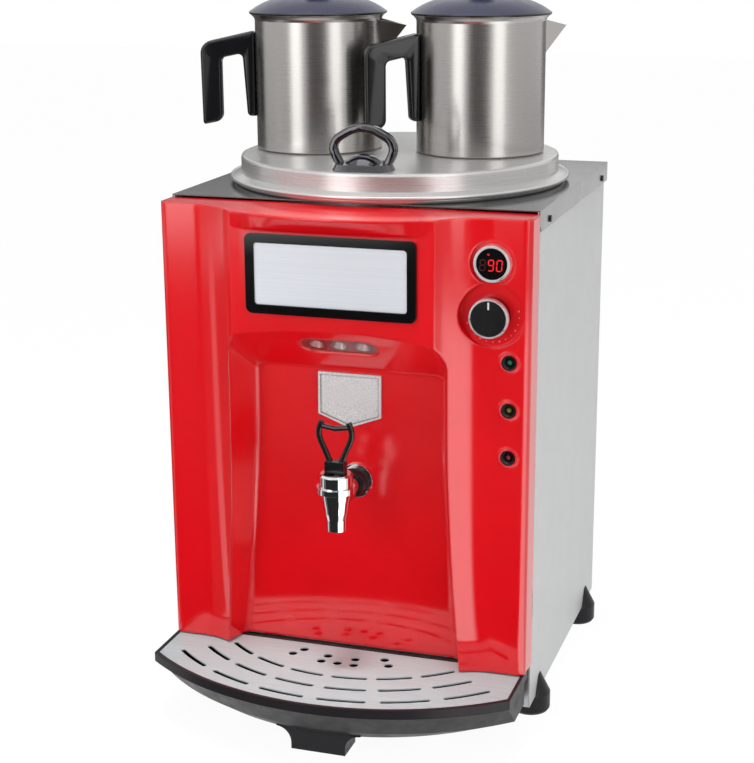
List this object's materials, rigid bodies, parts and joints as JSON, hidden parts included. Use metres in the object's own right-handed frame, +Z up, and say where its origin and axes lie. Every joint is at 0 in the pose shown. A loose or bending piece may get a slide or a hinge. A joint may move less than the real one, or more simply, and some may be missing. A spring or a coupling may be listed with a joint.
{
  "type": "tea urn",
  "caption": "Electric tea urn: boiler with a red moulded front, lever tap in a lit niche, drip tray, thermostat knob and steel teapots keeping warm on its lid.",
  "frame": {"origin": "on the floor under the middle of the whole object's box, which the left teapot's handle widens", "axes": "+Z up, +X to the right seen from the front, -Y out of the front"},
  "size_m": [0.4382, 0.542, 0.793],
  "materials": {
    "red_moulding": "gloss red",
    "silver_sheet": "satin silver",
    "dark_sheet": "satin anthracite",
    "plated_sheet": "plain",
    "dark_plastic": "fine grain",
    "black_plastic": "satin",
    "black_gloss": "gloss",
    "handle_plastic": "half gloss",
    "lid_plastic": "half gloss navy grey",
    "stainless": "brushed",
    "chrome": "polished",
    "bright_steel": "bright",
    "black_screw": "black",
    "sign_silver": "brushed",
    "white_plastic": "gloss",
    "lens": "clear",
    "grey_metal": "plain",
    "lamp_green": "clear tint",
    "lamp_amber": "clear tint",
    "lamp_red": "clear tint",
    "silicone": "soft",
    "brass": "plain"
  },
  "bodies": {
    "urn": {"base_pan": "plated_sheet", "casing": "silver_sheet", "top_plate": "dark_sheet", "top_plate_screws": "black_screw", "tray_runners": "plated_sheet", "front_left_foot": "dark_plastic", "front_right_foot": "dark_plastic", "rear_left_foot": "dark_plastic", "rear_right_foot": "dark_plastic", "cable_gland": "black_plastic", "fascia": "red_moulding", "sign_frame": "black_gloss", "sign_plate": "sign_silver", "badge_plate": "chrome", "niche_lamp_housing": "white_plastic", "niche_lamp_reflectors": "chrome", "niche_lamp_lens": "lens", "thermometer_bezel": "chrome", "thermometer_face": "black_gloss", "thermometer_body": "black_plastic", "thermostat": "grey_metal", "indicator_holders": "black_plastic", "indicator_green": "lamp_green", "indicator_amber": "lamp_amber", "indicator_red": "lamp_red", "tank": "stainless", "tank_seal": "silicone", "tank_nut": "brass", "heater": "stainless", "thermostat_bulb": "brass", "tap_escutcheon": "chrome", "tap_collar": "black_plastic", "tap_shank": "chrome", "tap_body": "chrome", "tap_bonnet": "chrome", "lever_pin": "bright_steel", "tap_spring": "stainless"},
    "thermostat_knob": {"knob_shaft": "bright_steel", "knob_body": "black_plastic", "knob_ring": "chrome", "knob_cap": "black_plastic", "knob_pointer": "white_plastic"},
    "tap_lever": {"tap_lever": "black_plastic"},
    "tap_valve": {"tap_stem": "bright_steel", "tap_seat": "silicone"},
    "drip_tray": {"drip_tray": "dark_plastic", "drip_grille": "stainless"},
    "boiler_lid": {"boiler_lid": "stainless", "lid_handle": "handle_plastic", "lid_handle_base": "handle_plastic", "lid_handle_screws": "bright_steel"},
    "left_teapot": {"left_pot": "stainless", "left_pot_handle": "handle_plastic"},
    "left_teapot_lid": {"left_pot_lid": "lid_plastic", "left_pot_knob": "handle_plastic"},
    "right_teapot": {"right_pot": "stainless", "right_pot_handle": "handle_plastic"},
    "right_teapot_lid": {"right_pot_lid": "lid_plastic", "right_pot_knob": "handle_plastic"}
  },
  "joints": [
    {"name": "knob_turn", "type": "hinge", "parent": "urn", "child": "thermostat_knob", "pos_m": [0.16914, -0.143, 0.463], "axis": [0, 1, 0], "range_deg": [0, 270]},
    {"name": "lever_pull", "type": "hinge", "parent": "urn", "child": "tap_lever", "pos_m": [0.01513, -0.18217, 0.289], "axis": [1, 0, 0], "range_deg": [0, 35], "stiffness_Nm_per_rad": 0.5, "springref_deg": -17.19},
    {"name": "valve_lift", "type": "slide", "parent": "urn", "child": "tap_valve", "axis": [0, 0, 1], "range_m": [0, 0.004], "deforming": ["tap_spring"]},
    {"name": "tray_pull", "type": "slide", "parent": "urn", "child": "drip_tray", "axis": [0, -1, 0], "range_m": [0, 0.15]},
    {"name": "boiler_lid_lift", "type": "slide", "parent": "urn", "child": "boiler_lid", "axis": [0, 0, 1], "range_m": [0, 0.12]},
    {"name": "left_teapot_lift", "type": "slide", "parent": "boiler_lid", "child": "left_teapot", "axis": [0, 0, 1], "range_m": [0, 0.15]},
    {"name": "left_lid_lift", "type": "slide", "parent": "left_teapot", "child": "left_teapot_lid", "axis": [0, 0, 1], "range_m": [0, 0.06]},
    {"name": "right_teapot_lift", "type": "slide", "parent": "boiler_lid", "child": "right_teapot", "axis": [0, 0, 1], "range_m": [0, 0.15]},
    {"name": "right_lid_lift", "type": "slide", "parent": "right_teapot", "child": "right_teapot_lid", "axis": [0, 0, 1], "range_m": [0, 0.06]}
  ],
  "couplings": [
    {"joint": "valve_lift", "follows": "lever_pull", "m_per_rad": 0.00654}
  ]
}
